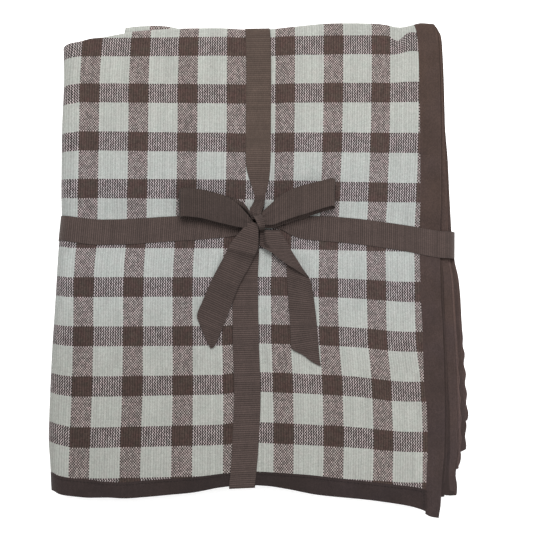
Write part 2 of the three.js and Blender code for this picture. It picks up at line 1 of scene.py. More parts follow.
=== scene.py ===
import math
import bpy
import numpy as np
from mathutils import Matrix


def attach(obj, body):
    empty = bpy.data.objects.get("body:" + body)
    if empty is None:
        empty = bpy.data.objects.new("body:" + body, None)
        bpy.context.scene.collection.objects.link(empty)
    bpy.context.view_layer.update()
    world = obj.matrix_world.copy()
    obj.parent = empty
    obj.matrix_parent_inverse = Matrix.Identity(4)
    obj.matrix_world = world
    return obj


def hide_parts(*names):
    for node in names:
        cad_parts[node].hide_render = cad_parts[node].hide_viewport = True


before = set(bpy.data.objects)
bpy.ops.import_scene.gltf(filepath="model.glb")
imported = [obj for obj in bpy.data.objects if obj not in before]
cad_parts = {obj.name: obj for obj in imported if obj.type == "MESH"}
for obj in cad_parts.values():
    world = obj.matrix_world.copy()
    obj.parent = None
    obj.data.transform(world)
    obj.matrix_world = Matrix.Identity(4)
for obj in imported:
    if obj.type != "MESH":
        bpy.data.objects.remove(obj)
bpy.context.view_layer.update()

print("frame loaded")

# The shapes are worked out in millimetres on the straight bundle: x to the right, y to the
# far edge, z up. settle() carries them to their real places, and frameShift into the frame.
frameShift = np.array([-0.193, -4.942, 0.0])


class Reading:
    # Smooth reading of a short table. The first column is the place, the others are values.
    def __init__(self, columns, *rows):
        table = np.array(rows, float)
        self.at = table[:, 0]
        self.value = table[:, 1] if len(columns) == 2 else table[:, 1:]
        steps = np.diff(self.at).reshape(-1, *[1] * (self.value.ndim - 1))
        rise = np.diff(self.value, axis=0) / steps
        before = np.concatenate([rise[:1], rise])
        after = np.concatenate([rise, rise[-1:]])
        together = np.abs(before) + np.abs(after) + 1e-9
        between = 2 * before * after / together * np.sign(before)
        self.slope = np.where(before * after > 0, between, 0)

    def __call__(self, place):
        place = np.clip(place, self.at[0], self.at[-1])
        low = np.clip(np.searchsorted(self.at, place, side="right") - 1, 0, len(self.at) - 2)
        span = self.at[low + 1] - self.at[low]
        t = (place - self.at[low]) / span
        if self.value.ndim == 2:
            t = t[..., None]
            span = span[..., None]
        rise = self.value[low] * (1 + 2 * t) * (1 - t) ** 2
        rise = rise + self.value[low + 1] * t * t * (3 - 2 * t)
        lean = self.slope[low] * span * t * (1 - t) ** 2
        lean = lean - self.slope[low + 1] * span * t * t * (1 - t)
        return rise + lean


def smooth(value):
    t = np.clip(value, 0, 1)
    return t * t * (3 - 2 * t)


cloth = dict(
    thick=1.1, pitch=1.75, solidThick=1.15, band=19, gap=0.6, outerTurnSteps=12, innerTurnSteps=6)
bundle = dict(left=-199, right=178, near=-219, far=247, firstAcross=10, firstAlong=4)
stripPitch = 4 * cloth["pitch"]
stripHalf = 1.5 * cloth["pitch"] + cloth["solidThick"] / 2
bundleHalf = 1.5 * stripPitch + stripHalf
bundleHeight = 2 * bundleHalf
seamX = bundle["right"] - cloth["band"] - 2 * cloth["gap"]
seamY = bundle["near"] + cloth["band"] + cloth["gap"]
turnX = bundle["left"] + bundleHalf
turnY = bundle["far"] - stripHalf
firstX = bundle["right"] - bundle["firstAcross"]
firstY = bundle["near"] + bundle["firstAlong"]
lengthwiseX = -8
crosswiseY = 36

# The outline of the top sheet, as shifts of its four straight edges
leftEdge = Reading(
    ("y", "shift"), (-219, -0.5), (-196, -1.5), (-165, -4), (-100, -3), (-25, 0), (25, 2), (41, 4),
    (60, 3.5), (140, 2.5), (200, 3.5), (247, 2))
rightEdge = Reading(
    ("y", "shift"), (-238, -6.6), (-224, -4.6), (-211, -4), (-192, -2.3), (-173, -0.4),
    (-117, 0.5), (-64, -0.1), (-20, -1.7), (11, -1.5), (75, 0.5), (148, 1.4), (185, 1.3),
    (222, 0.5), (239, -1.3), (247, -4.6))
nearEdge = Reading(
    ("x", "shift"), (-196, 6.8), (-187, 3.2), (-174, 1.5), (-160, 0.4), (-144, 0.6), (-127, -0.2),
    (-107, 1.1), (-84, 3), (-60, 5), (-28, 10), (-1, 11.9), (16, 11.2), (32, 8.8), (60, 3.3),
    (79, 1.2), (108, -1.5), (127, -4.2), (142, -7.1), (154, -10.8), (163, -14.7), (178, -16.5))
farEdge = Reading(
    ("x", "shift"), (-199, -21), (-181, -18.4), (-169, -15.2), (-157, -13.9), (-145, -11.5),
    (-127, -8.7), (-108, -7), (-85, -5.2), (-50, -4.8), (-14, -5.1), (10, -4.5), (22, -3.8),
    (46, -1.6), (70, 0.2), (94, 0.5), (118, 0.1), (130, -1.3), (142, -3.9), (154, -1.9),
    (166, 0.7), (178, 0))
edgeReach = dict(left=250, right=270, near=290, far=110)

# Below the top sheet the hems at the right fan out and their near corners draw back
fanReach = Reading(
    ("y", "reach"), (-236, 34), (-214, 30), (-193, 25.2), (-144, 24.8), (-123, 23.5), (-99, 22.7),
    (-76, 21.8), (-53, 21.1), (-29, 21.4), (-17, 20.8), (-5, 19.5), (8, 16.7), (54, 11.7),
    (75, 10.3), (111, 8.7), (148, 6.3), (222, 6), (238, 6.5), (247, 4))
sheetFan = dict(
    sheet=(0, 1, 2, 3, 4, 5, 6, 7), reach=(0, 0.12, 0.5, 0.55, 0.65, 0.7, 0.9, 1),
    lift=(0, 19, 15, 17, 39, 43, 61, 88))
lowerStrips = dict(reach=0.75, lift=36)

# Near that corner the tips of the hems draw back more, and their edges waver
hemTip = dict(length=9, rise=0.05, wave=0.8, turn=0.33, sheetTurn=2.3, fromY=-60, over=60)

# The seams of the bands lie a little off the even width, where the bands curl over the edges
endSeam = Reading(
    ("y", "shift"), (-228, 6.5), (-207, 5.5), (-172, 4.4), (-133, 3.2), (-107, 0.8), (-30, 1),
    (68, 0.2))
sideSeam = Reading(
    ("x", "shift"), (-196, -2.2), (-160, -2.7), (-144, -5), (-107, -4.1), (-60, -4.8), (-28, -6.1),
    (16, -5.9), (32, -4.7), (60, -1.9), (108, -2.8), (127, -2.7), (142, -1.9), (154, -0.8),
    (178, 0))
seamReach = 45
fanFrom = 60
cornerFrom = (60, -10)

# At the far left the layers below look out from under the top one
peekReach = Reading(("x", "reach"), (-137.5, 0), (-136, 8.8), (-110, 8.3), (-95, 6), (-75, 0))
peekFrom = 190

# How far the ribbon's two lines wander from straight
lengthwiseWander = Reading(
    ("y", "shift"), (-219, -7.4), (-132, -2.3), (-72, -4.5), (-35, -5), (36, 6), (60, 8.5),
    (77, 8.7), (100, 7.4), (247, 7.7))
crosswiseWander = Reading(
    ("x", "shift"), (-199, 5.5), (-155, 0.5), (-77, 4.6), (-8, 8), (30, 4.6), (57, 4.4), (89, 2.3),
    (138, -4.4), (178, -11))
wanderReach = 95

# Relief of the top: pillows between the ribbon's lines, and creases as soft troughs and ridges
pillow = dict(rise=1.5, dip=1.5, bedHalf=12, bedSlope=24, recess=1.5)
creases = [
    dict(start=(139, 246), end=(132, 218), width=4, depth=3.2),
    dict(start=(132, 218), end=(127, 184), width=5, depth=1.2),
    dict(start=(142, 250), end=(139, 205), width=6, depth=-0.9),
]
swells = [
    dict(along=(0.96, 0.28), length=171, height=0.35, phase=0.8),
    dict(along=(-0.35, 0.94), length=128, height=0.3, phase=2.1),
    dict(along=(0.71, -0.7), length=83, height=0.16, phase=4.0),
]


# 1 where the ribbon lies, and 0 away from it
def ribbonBed(x, y):
    distance = np.minimum(np.abs(x - lengthwiseX), np.abs(y - crosswiseY))
    return smooth((pillow["bedHalf"] + pillow["bedSlope"] - distance) / pillow["bedSlope"])


def creaseHeight(x, y):
    total = np.zeros(np.broadcast(x, y).shape)
    for crease in creases:
        startX, startY = crease["start"]
        runX = crease["end"][0] - startX
        runY = crease["end"][1] - startY
        length = math.hypot(runX, runY)
        along = ((x - startX) * runX + (y - startY) * runY) / length
        across = ((x - startX) * runY - (y - startY) * runX) / length
        width = crease["width"]
        fade = smooth((along + width) / (3 * width))
        fade = fade * smooth((length + width - along) / (3 * width))
        total = total - crease["depth"] * np.exp(-(across / width) ** 2) * fade
    for swell in swells:
        turn = (x * swell["along"][0] + y * swell["along"][1]) / swell["length"] * math.tau
        total = total + swell["height"] * np.sin(turn + swell["phase"])
    return total


# The near and right rims curl down, more where less of the band's width shows
rims = dict(nearFrom=-192, rightFrom=150)
nearDroop = Reading(("x", "drop"), (-199, 2.5), (-20, 3), (20, 3), (60, 2), (178, 2))
rightDroop = Reading(("y", "drop"), (-235, 2.5), (-170, 2), (-110, 0.8), (-30, 0.5), (240, 0.5))


def topHeight(x, y):
    bed = ribbonBed(x, y)
    height = bundleHeight + pillow["rise"] * (1 - bed) - pillow["dip"] * bed
    height = height + creaseHeight(x, y) * (1 - bed)
    nearShare = np.clip((rims["nearFrom"] - y) / (rims["nearFrom"] - bundle["near"]), 0, 1)
    rightShare = np.clip((x - rims["rightFrom"]) / (bundle["right"] - rims["rightFrom"]), 0, 1)
    return height - nearDroop(x) * nearShare ** 2 - rightDroop(y) * rightShare ** 2


# How many sheets lie over a height: level through a sheet, and changing only in the gaps
def sheetsAbove(z):
    position = (bundleHeight - cloth["solidThick"] / 2 - z) / cloth["pitch"]
    whole = np.floor(position)
    flatPart = cloth["solidThick"] / 2 / cloth["pitch"]
    climb = np.clip((position - whole - flatPart) / (1 - 2 * flatPart), 0, 1)
    return np.clip(whole + climb, 0, 7)


# 1 at a seam, falling to 0 at the edge beside it and over seamReach on the other side
def bySeam(place, seam, edge):
    outside = (place - edge) / (seam - edge)
    inside = 1 - np.abs(place - seam) / seamReach
    return smooth(np.where((place - seam) * (seam - edge) > 0, inside, outside))


# Where a point of the straight bundle comes to lie, seen from above
def bendPlan(x, y, z):
    above = sheetsAbove(z)
    isLower = z < bundleHalf
    reach = np.interp(above, sheetFan["sheet"], sheetFan["reach"])
    lift = np.interp(above, sheetFan["sheet"], sheetFan["lift"])
    reach = np.where(isLower, lowerStrips["reach"], reach)
    lift = np.where(isLower, lowerStrips["lift"], lift)
    byLengthwise = 1 - np.clip(np.abs(x - lengthwiseX) / wanderReach, 0, 1)
    byCrosswise = 1 - np.clip(np.abs(y - crosswiseY) / wanderReach, 0, 1)
    bentX = x + lengthwiseWander(y) * byLengthwise
    bentY = y + crosswiseWander(x) * byCrosswise
    bentX = bentX + leftEdge(y) * np.clip(1 - (x - bundle["left"]) / edgeReach["left"], 0, 1)
    bentY = bentY + nearEdge(x) * np.clip(1 - (y - bundle["near"]) / edgeReach["near"], 0, 1)
    bentY = bentY + farEdge(x) * np.clip(1 - (bundle["far"] - y) / edgeReach["far"], 0, 1)
    bentY = bentY + sideSeam(x) * bySeam(y, seamY, bundle["near"])
    corner = smooth((x - cornerFrom[0]) / (bundle["right"] - cornerFrom[0]))
    corner = corner * smooth((cornerFrom[1] - y) / (cornerFrom[1] - bundle["near"]))
    bentY = bentY + lift * corner
    tip = np.clip((x - bundle["right"]) / hemTip["length"] + 1, 0, 1) ** 2
    tip = tip * smooth((hemTip["fromY"] - y) / hemTip["over"])
    bentY = bentY + hemTip["rise"] * lift * tip
    out = peekReach(x) * np.clip((bundleHeight - stripPitch / 2 - z) / stripPitch, 0, 1)
    bentY = bentY + out * smooth((y - peekFrom) / (bundle["far"] - peekFrom))
    bentX = bentX + rightEdge(bentY) * np.clip(1 - (bundle["right"] - x) / edgeReach["right"], 0, 1)
    bentX = bentX + fanReach(bentY) * reach * smooth((x - fanFrom) / (bundle["right"] - fanFrom))
    waver = np.sin(bentY * hemTip["turn"] + above * hemTip["sheetTurn"])
    bentX = bentX + hemTip["wave"] * reach * waver * tip
    bentX = bentX + endSeam(bentY) * bySeam(x, seamX, bundle["right"])
    return bentX, bentY


def settle(x, y, z):
    bentX, bentY = bendPlan(x, y, z)
    under = pillow["recess"] * ribbonBed(x, y)
    height = under + z * (topHeight(x, y) - under) / bundleHeight
    return np.stack(np.broadcast_arrays(bentX, bentY, height), -1)


# Steps of the cloth's mesh on the run that shows and on the hidden ones
grain = dict(fine=3.9, coarse=20)


# The centre line of something folded in half twice, seen end on, starting at the hem on top.
# flat is the distance along it, equal to the place on its first run. extra gives more stops for
# the hidden runs.
def foldTwice(hem, first, turn, pitch, hidden=grain["coarse"], extra=()):
    line = []

    def run(start, end, height, step=hidden, extra=extra):
        heading = np.sign(end - start)
        stops = np.linspace(start, end, int(math.ceil(abs(end - start) / step)) + 1)
        between = [stop for stop in extra
                   if (stop - start) * heading > 1 and (end - stop) * heading > 1]
        for place in np.unique(np.concatenate([stops, between]))[::int(heading)]:
            line.append((place, height, 0, heading))

    def bend(centre, height, radius, startAngle, sweep, side, steps):
        for step in range(1, steps):
            angle = startAngle + sweep * step / steps
            line.append((centre + radius * math.cos(angle), height + radius * math.sin(angle),
                         side * math.cos(angle), side * math.sin(angle)))

    run(hem, turn, 1.5 * pitch, grain["fine"], ())
    bend(turn, 0, 1.5 * pitch, math.pi / 2, -math.pi, 1, cloth["outerTurnSteps"])
    run(turn, first, -1.5 * pitch)
    bend(first, -pitch, pitch / 2, -math.pi / 2, -math.pi, 1, cloth["innerTurnSteps"])
    run(first, turn, -0.5 * pitch)
    bend(turn, 0, pitch / 2, -math.pi / 2, math.pi, -1, cloth["innerTurnSteps"])
    run(turn, hem, 0.5 * pitch)
    line = np.array(line, float)
    steps = np.hypot(np.diff(line[:, 0]), np.diff(line[:, 1]))
    flat = hem + np.concatenate([[0], np.cumsum(steps)])
    return dict(along=line[:, 0], height=line[:, 1], flat=flat, length=flat[-1] - flat[0],
                normalAlong=line[:, 2], normalHeight=line[:, 3])


# The centre line of a strip that lies flat
def level(low, high, height, heading, steps):
    along = np.linspace(low, high, steps + 1)
    even = np.ones(along.shape)
    return dict(along=along, height=even * height, flat=along,
                normalAlong=even * 0, normalHeight=even * heading)


checkLean = Reading(
    ("y", "dxLeft", "dxMiddle", "dxRight", "dxOuter",
     "dyLeft", "dyMiddle", "dyRight", "dyInner", "dyOuter", "dyRim"),
    (-205, -1.7, 0.3, -2.1, -1.2, 0.2, 2.8, -1.9, 0.8, -1.8, 3.5),
    (-162, -1.2, 0.5, -0.8, -1.4, 0.0, 2.8, -2.1, 2.2, -2.1, 3.5),
    (-113, 0.0, 0.0, -1.8, -1.8, 0.3, 2.2, -2.7, 3.0, -2.1, 1.5),
    (-65, 0.2, -1.1, -5.4, -2.1, 0.1, 0.6, -3.1, 2.4, -2.0, 1),
    (-17, -0.3, -1.6, -6.0, -1.8, -0.4, -0.2, -3.3, 1.3, -1.7, 0),
    (31, 1.3, 0.1, -5.5, -1.6, -0.3, -1.0, -3.5, 0.0, -0.1, 0),
    (79, 2.1, 1.8, -3.1, -1.5, 0.1, -0.5, -3.2, 0.1, -0.9, -1.5),
    (127, 2.0, 2.4, -0.6, -1.6, -0.7, -2.4, -2.4, 0.4, 0.0, -3),
    (176, 1.8, 2.5, 1.0, -2.2, -0.2, -1.2, -0.4, 0.6, 0.4, -5),
    (224, 3.6, 2.4, 1.9, -2.2, -2.0, -1.2, 0.4, 0.4, 0.0, -3),
    (246, 6, 2.5, 1.9, -2.2, -2.0, -1.2, 0.4, 0.4, 0.0, -3))

# Where the crease at the far right puckers the check
puckers = [
    dict(x=138.5, y=236, halfX=5.5, halfY=15, dy=-8),
    dict(x=153, y=228, halfX=13, halfY=38, dy=3.5),
]

# The strips under the top one lie a little off its check
checkLag = dict(shift=6.5, start=15, over=25)

turnSqueeze = Reading(("y", "share"), (-190, 0.2), (-170, 0.34), (-40, 0.34), (20, 0.1), (60, 0))

# Where in x the columns of checkLean begin to hold, and over how far they come in
leanZones = dict(left=(-25, -120), right=(-25, 145), inner=(-40, 30), pastInner=(75, 60),
                 outer=(98, 50), rim=(-176, -20))


def checkShift(x, y):
    leans = np.moveaxis(checkLean(y), -1, 0)
    dxLeft, dxMiddle, dxRight, dxOuter, dyLeft, dyMiddle, dyRight, dyInner, dyOuter, dyRim = leans
    share = {zone: (x - start) / over for zone, (start, over) in leanZones.items()}
    toLeft = np.clip(share["left"], 0, 1)
    toRight = smooth(share["right"])
    inner = smooth(share["inner"]) * (1 - smooth(share["pastInner"]))
    outer = smooth(share["outer"])
    shiftX = dxMiddle + (dxLeft - dxMiddle) * toLeft + (dxRight - dxMiddle) * toRight
    shiftX = shiftX + dxOuter * outer
    shiftY = dyMiddle + (dyLeft - dyMiddle) * toLeft + (dyRight - dyMiddle) * toRight
    shiftY = shiftY + dyInner * inner + dyOuter * outer
    shiftY = shiftY + dyRim * smooth(share["rim"])
    for pucker in puckers:
        acrossShare = (x - pucker["x"]) / pucker["halfX"]
        alongShare = (y - pucker["y"]) / pucker["halfY"]
        pull = np.exp(-acrossShare ** 2 - alongShare ** 2)
        shiftY = shiftY + pucker["dy"] * pull
    return shiftX, shiftY


class SheetMesh:
    # Grids of points, each with an upper and a lower face, as one mesh. Two UV layers go with
    # it: flat is the place on the flat cloth, and rim the distance to its seams, or for the
    # ribbon the painted light and shade of each length.
    def __init__(self, name):
        self.name = name
        self.count = 0
        self.points = []
        self.faces = []
        self.corners = []
        self.rims = []

    def add(self, upper, lower, flat, rim, ring=False):
        rows, columns = upper.shape[:2]
        top = np.arange(rows * columns).reshape(rows, columns)
        if ring:
            top = np.vstack([top, top[:1]])
        under = top + rows * columns
        spot = np.arange(top.size).reshape(top.shape)
        faces = []
        spots = []

        # Faces between two lines of points, and the spots of the flat cloth under their corners
        def quads(a, b, spotA, spotB):
            for kept, first, second in ((faces, a, b), (spots, spotA, spotB)):
                corners = np.stack([first[:-1], first[1:], second[1:], second[:-1]], -1)
                kept.append(corners.reshape(-1, 4))

        for here in range(columns - 1):
            there = here + 1
            quads(top[:, here], top[:, there], spot[:, here], spot[:, there])
            quads(under[:, there], under[:, here], spot[:, there], spot[:, here])
        quads(under[:, 0], top[:, 0], spot[:, 0], spot[:, 0])
        quads(top[:, -1], under[:, -1], spot[:, -1], spot[:, -1])
        if not ring:
            quads(top[0], under[0], spot[0], spot[0])
            quads(under[-1], top[-1], spot[-1], spot[-1])
        faces = np.concatenate(faces)
        spots = np.concatenate(spots)
        points = np.concatenate([upper.reshape(-1, 3), lower.reshape(-1, 3)])
        a, b, c, d = (points[faces[:, corner]] for corner in range(4))
        volume = np.sum(a * np.cross(b, c)) + np.sum(a * np.cross(c, d))
        if volume < 0:
            faces = faces[:, ::-1]
            spots = spots[:, ::-1]
        self.points.append(points)
        self.faces.append(faces + self.count)
        self.corners.append(flat.reshape(-1, 2)[spots.ravel()])
        self.rims.append(rim.reshape(-1, 2)[spots.ravel()])
        self.count += len(points)

    def build(self, material):
        points = (np.concatenate(self.points) + frameShift) / 1000
        mesh = bpy.data.meshes.new(self.name)
        mesh.from_pydata(points.tolist(), [], np.concatenate(self.faces).tolist())
        for name, corners in (("flat", self.corners), ("rim", self.rims)):
            layer = mesh.uv_layers.new(name=name)
            layer.data.foreach_set("uv", (np.concatenate(corners) / 1000).ravel())
        mesh.polygons.foreach_set("use_smooth", [True] * len(mesh.polygons))
        mesh.set_sharp_from_angle(angle=math.radians(62))
        mesh.materials.append(material)
        piece = bpy.data.objects.new(self.name, mesh)
        bpy.context.collection.objects.link(piece)
        return piece


# A folded piece of the cloth: a section of y and height swept along a path of x and height
def foldedSheet(name, section, path, thick, material):
    along = path["along"][:, None]
    height = path["height"][:, None]
    normalAlong = path["normalAlong"][:, None]
    normalHeight = path["normalHeight"][:, None]
    place = []
    for side in (0.5, -0.5):
        y = section["along"] + side * thick * section["normalAlong"]
        rise = section["height"] + side * thick * section["normalHeight"]
        x = -(along + normalAlong * rise[None, :])
        z = bundleHalf + height + normalHeight * rise[None, :]
        place.append(settle(x, np.broadcast_to(y, x.shape), z))
    flatX = np.broadcast_to(-path["flat"][:, None], x.shape)
    flatY = np.broadcast_to(section["flat"][None, :], x.shape)
    topX = np.maximum(flatX, turnX)
    topY = np.minimum(flatY, turnY)
    bentX, bentY = bendPlan(topX, topY, np.full(x.shape, bundleHeight))
    leanX, leanY = checkShift(bentX, bentY)
    squeezed = (flatX - topX) * (1 + turnSqueeze(topY))
    lag = checkLag["shift"] * smooth((turnX - checkLag["start"] - flatX) / checkLag["over"])
    flat = np.stack([squeezed + bentX - leanX - lag, flatY + bentY - leanY - topY + lag], -1)
    rim = np.stack([seamX - flatX, flatY - seamY], -1)
    sheet = SheetMesh(name)
    sheet.add(place[0], place[1], flat, rim)
    return sheet.build(material)


# An operator that adds the node called word, with the wire as its first or last value
def operator(word, last=False):
    def apply(wire, *others):
        values = (*others, wire) if last else (wire, *others)
        return wire.shader.work(word, *values)
    return apply


class Wire:
    # One output of a shader's tree. Arithmetic on it adds the node that works it out.
    def __init__(self, shader, socket):
        self.shader = shader
        self.socket = socket

    __add__ = operator("ADD")
    __radd__ = operator("ADD", True)
    __sub__ = operator("SUBTRACT")
    __rsub__ = operator("SUBTRACT", True)
    __mul__ = operator("MULTIPLY")
    __rmul__ = operator("MULTIPLY", True)
    __truediv__ = operator("DIVIDE")
    __rtruediv__ = operator("DIVIDE", True)
    __mod__ = operator("FLOORED_MODULO")
    __abs__ = operator("ABSOLUTE")
    whole = operator("FLOOR")
    fraction = operator("FRACT")
    above = operator("GREATER_THAN")
    below = operator("LESS_THAN")
    least = operator("MAXIMUM")
    most = operator("MINIMUM")

    def fromMiddle(self):
        return self.fraction() * 2 - 1

    def eased(self, low, high):
        return self.shader.node("MapRange", dict(interpolation_type="SMOOTHSTEP"),
                                {"Value": self, "From Min": low, "From Max": high})


class Shader:
    # A material whose tree is written as expressions
    def __init__(self, name):
        self.material = bpy.data.materials.new(name)
        self.material.use_nodes = True
        self.tree = self.material.node_tree
        self.surface = self.tree.nodes["Principled BSDF"]

    def put(self, socket, value):
        if isinstance(value, Wire):
            self.tree.links.new(value.socket, socket)
        elif socket.type == "RGBA" and len(value) == 3:
            socket.default_value = (*value, 1.0)
        else:
            socket.default_value = value

    def node(self, kind, settings, inputs, output=0):
        made = self.tree.nodes.new("ShaderNode" + kind)
        for name, value in settings.items():
            setattr(made, name, value)
        for name, value in inputs.items():
            self.put(made.inputs[name], value)
        return Wire(self, made.outputs[output])

    def work(self, word, *values):
        kinds = [value.socket.type for value in values if isinstance(value, Wire)]
        if "RGBA" in kinds:
            return self.blend(1.0, *values, word)
        kind = "VectorMath" if "VECTOR" in kinds else "Math"
        return self.node(kind, dict(operation=word), dict(enumerate(values)))

    def blend(self, share, first, second, word="MIX"):
        return self.node("Mix", dict(data_type="RGBA", blend_type=word), {
            0: share, 6: first, 7: second}, 2)

    def vector(self, x, y, z):
        return self.node("CombineXYZ", {}, {0: x, 1: y, 2: z})

    def noise(self, place, scale, detail, roughness=0.5):
        place = self.vector(*place)
        return self.node("TexNoise", {}, {
            "Vector": place, "Scale": scale, "Detail": detail, "Roughness": roughness})

    def chance(self, x, y):
        return self.node("TexWhiteNoise", dict(noise_dimensions="3D"), {
            "Vector": self.vector(x, y, 0.0)})

    def firstTwo(self, vector):
        x = self.node("SeparateXYZ", {}, {"Vector": vector})
        return x, Wire(self, x.socket.node.outputs[1])

    # A pair of coordinates on the cloth, in millimetres
    def place(self, name):
        across, along = self.firstTwo(self.node("UVMap", dict(uv_map=name), {}))
        return across * 1000, along * 1000

    # Where a point lies in the frame, in metres
    def spot(self):
        return self.firstTwo(self.node("TexCoord", {}, {}, "Object"))

    def finish(self, colour, roughness, height, depth, sheen, tint):
        bump = self.node("Bump", {}, {
            "Strength": 1.0, "Distance": depth / 1000, "Height": height})
        return self.cover({
            "Base Color": colour, "Roughness": roughness, "Normal": bump,
            "Specular IOR Level": 0.12, "Sheen Weight": sheen, "Sheen Roughness": 0.6,
            "Sheen Tint": tint})

    def cover(self, inputs):
        for name, value in inputs.items():
            self.put(self.surface.inputs[name], value)
        return self.material


# How high the threads of a plain weave stand. Each is a rib that dips where it crosses others,
# and warpHigh and weftHigh are how high the two kinds stand where they lie over.
def weaveCrown(fromWarp, fromWeft, warpOver, dip, warpHigh, weftHigh):
    warpCrown = (1 - fromWarp * fromWarp * 0.9) * (1 - fromWeft * fromWeft * dip) * warpHigh
    weftCrown = (1 - fromWeft * fromWeft * 0.9) * (1 - fromWarp * fromWarp * dip) * weftHigh
    return weftCrown + (warpCrown - weftCrown) * warpOver


# The check: brown and pale threads in plain weave. The warp lies in pairs of threads, which
# gives the cloth its upright ribs and draws its pale threads over the brown as zigzags.
def checkMaterial():
    look = dict(
        warpPitch=48.3 / 40, weftPitch=48.2 / 35, warpRepeat=40, weftRepeat=35,
        warpBrown=16, weftBrown=14, columnAt=-24.4, rowAt=31.0,
        pale=(0.243, 0.248, 0.228), brown=(0.043, 0.028, 0.0235),
        columnPale=(0.236, 0.198, 0.187), rowPale=(0.246, 0.212, 0.208),
        under=0.7, pairLow=0.1, pairHigh=1.6, ribbed=0.24, brownRibs=0.4, uneven=0.5, depth=0.22,
        paintedShadeNearLeft=0.14, coolAt=0.03, cool=(0.02, 0.045, 0.09))
    shader = Shader("check cotton")
    u, v = shader.place("flat")
    drift = shader.noise((u, v, 0.0), 0.06, 2.0)
    slip = (drift - 0.5) * 0.8
    across = (u + slip - look["columnAt"]) / look["warpPitch"] + look["warpBrown"] / 2 + 800
    down = (v + slip - look["rowAt"]) / look["weftPitch"] + look["weftBrown"] / 2 + 700
    warp = across.whole()
    weft = down.whole()
    fromWarp = across.fromMiddle()
    fromWeft = down.fromMiddle()
    warpIsBrown = (warp % look["warpRepeat"]).below(look["warpBrown"] - 0.5)
    weftIsBrown = (weft % look["weftRepeat"]).below(look["weftBrown"] - 0.5)
    warpOver = ((warp + weft) % 2).below(0.5)
    fromPair = (across / 2).fromMiddle()
    pair = 1 - fromPair * fromPair
    brownCell = warpIsBrown * weftIsBrown
    crossing = shader.chance(warp + 0.3, weft + 0.7)
    thread = shader.chance(warp, (down / 41).whole())
    # Where pale threads cross brown ones they stand out: painted highlight on the middle of each
    # pair and painted shade between pairs. The brown beside them is darkened, painted shade where
    # it lies under them
    mixedRow = weftIsBrown * (1 - warpIsBrown)
    mixedColumn = warpIsBrown * (1 - weftIsBrown)
    mixed = mixedRow + mixedColumn
    pale = shader.blend(mixedColumn, look["pale"], look["columnPale"])
    pale = shader.blend(mixedRow, pale, look["rowPale"])
    # fade darkens the brown towards the near left: painted shade where the light falls off
    fade = (0.88 + v * 0.0004 + u * 0.0003).least(0.75).most(1.0)
    brown = shader.blend(mixed * look["under"], look["brown"], (0, 0, 0)) * fade
    isPale = warpOver * (1 - warpIsBrown) + (1 - warpOver) * (1 - weftIsBrown)
    standing = look["pairLow"] + (look["pairHigh"] - look["pairLow"]) * pair * pair
    colour = shader.blend(isPale, brown, pale) * (1 + mixedRow * isPale * (standing - 1))
    fuzz = shader.noise((u, v, 0.0), 1.9, 3.0, 0.65)
    patch = shader.noise((u, v, 7.0), 0.05, 3.0)
    cast = shader.noise((u, v, 11.0), 0.16, 2.0)
    shade = 1 + look["uneven"] * (crossing - 0.5) * (0.35 + mixed + 0.6 * brownCell)
    # ribs darken the grooves between thread pairs, painted shade, with a little painted highlight
    # on their crowns
    ribs = look["ribbed"] * (1 - mixed) + look["brownRibs"] * brownCell
    shade = shade * (1 + ribs * (pair - 0.6)) * (0.93 + 0.14 * thread)
    shade = shade * (0.85 + 0.3 * fuzz) * (0.9 + 0.2 * patch)
    rosy = (cast - 0.5) * (0.1 + 0.15 * mixed + 0.4 * brownCell)
    tint = shader.vector(1 + rosy * 0.5, 1 - rosy * 0.5, 1 - rosy * 0.2)
    # The cloth is painted darker towards its near left corner, painted shade where the light falls
    # off, and is cooler about its middle
    x, y = shader.spot()
    paintedShadeNearLeft = look["paintedShadeNearLeft"] * (0.5 - x * 2.2).least(0).most(1) * (0.5 - y * 2.2).least(0).most(1)
    cool = 1 - abs(y - look["coolAt"]).eased(0.03, 0.15)
    colour = colour * shader.vector(*[1 + share * cool for share in look["cool"]])
    colour = colour * tint * (shade * (1 - paintedShadeNearLeft))
    crown = weaveCrown(fromWarp, fromWeft, warpOver, 0.45, 0.75 + 0.35 * pair, 0.85)
    height = crown * 0.9 + fuzz * 0.35
    roughness = 0.92 + 0.06 * (fuzz - 0.5)
    return shader.finish(colour, roughness, height, look["depth"], 0.03, (1, 0.98, 0.95))
